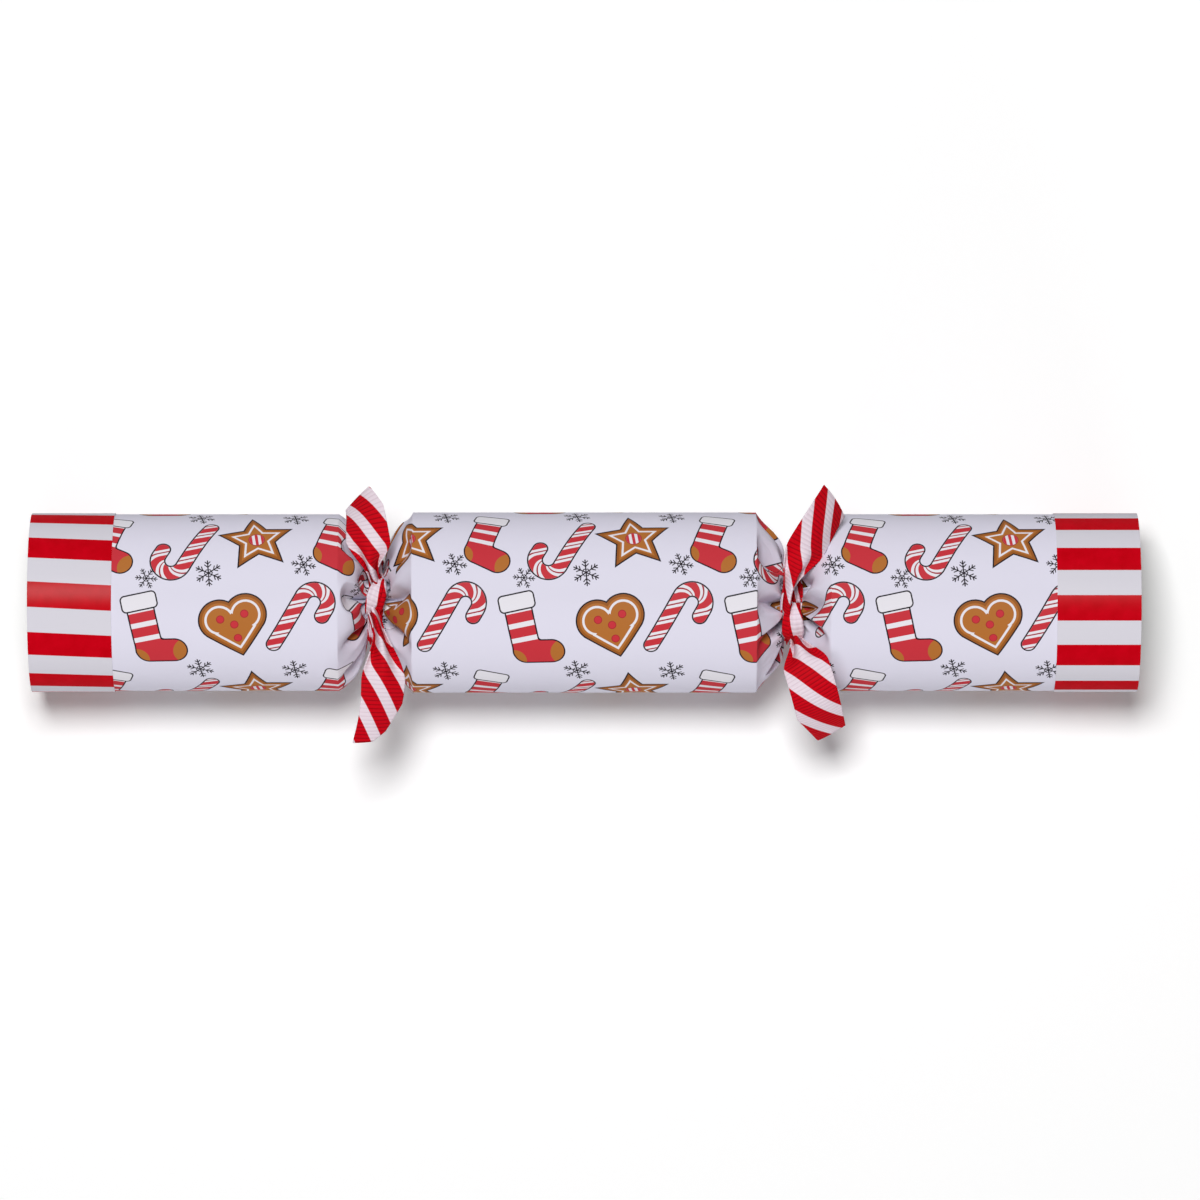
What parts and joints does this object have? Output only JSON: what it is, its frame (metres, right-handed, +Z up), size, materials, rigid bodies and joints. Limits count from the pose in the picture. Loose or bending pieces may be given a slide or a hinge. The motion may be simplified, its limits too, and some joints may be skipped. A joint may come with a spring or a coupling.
{
  "type": "christmas cracker",
  "caption": "Paper christmas cracker: printed wrapper over card tubes, ribbon-tied necks that tear, striped end bands, a snap along its axis, and a crown, motto and toy inside.",
  "frame": {"origin": "on the table under the middle of the barrel, which the cracker lies on", "axes": "+X along the cracker towards its right end, +Z up, away from the table"},
  "size_m": [0.305, 0.0722, 0.05],
  "materials": {
    "printed_paper": "satin",
    "striped_paper": "gloss",
    "tube_card": "matte",
    "ribbon_grosgrain": "matte",
    "snap_card": "matte",
    "snap_charge": "matte",
    "snap_friction": "matte",
    "sleeve_paper": "matte",
    "crown_tissue": "matte",
    "band_rubber": "satin",
    "motto_paper": "matte",
    "top_wood": "satin",
    "peg_wood": "gloss"
  },
  "bodies": {
    "barrel": {"barrel_wrapper": "printed_paper", "barrel_card_tube": "tube_card"},
    "left_end": {"left_wrapper": "printed_paper", "left_card_tube": "tube_card", "left_striped_band": "striped_paper", "left_ribbon": "ribbon_grosgrain", "left_snap_strip": "snap_card", "snap_charge_pad": "snap_charge", "snap_sleeve": "sleeve_paper"},
    "right_end": {"right_wrapper": "printed_paper", "right_card_tube": "tube_card", "right_striped_band": "striped_paper", "right_ribbon": "ribbon_grosgrain", "right_snap_strip": "snap_card", "snap_friction_pad": "snap_friction"},
    "crown": {"paper_crown": "crown_tissue", "crown_rubber_band": "band_rubber"},
    "motto": {"motto_slip": "motto_paper"},
    "gift": {"gift_top_disc": "top_wood", "gift_top_peg": "peg_wood"}
  },
  "joints": [
    {"name": "left_pull", "type": "slide", "parent": "barrel", "child": "left_end", "axis": [-1, 0, 0], "range_m": [0, 0.1]},
    {"name": "right_pull", "type": "slide", "parent": "barrel", "child": "right_end", "axis": [1, 0, 0], "range_m": [0, 0.1]},
    {"name": "crown_slide", "type": "slide", "parent": "barrel", "child": "crown", "axis": [1, 0, 0], "range_m": [-0.007, 0.007]},
    {"name": "motto_slide", "type": "slide", "parent": "barrel", "child": "motto", "axis": [1, 0, 0], "range_m": [-0.015, 0.015]},
    {"name": "gift_slide", "type": "slide", "parent": "barrel", "child": "gift", "axis": [1, 0, 0], "range_m": [-0.03, 0.03]}
  ]
}
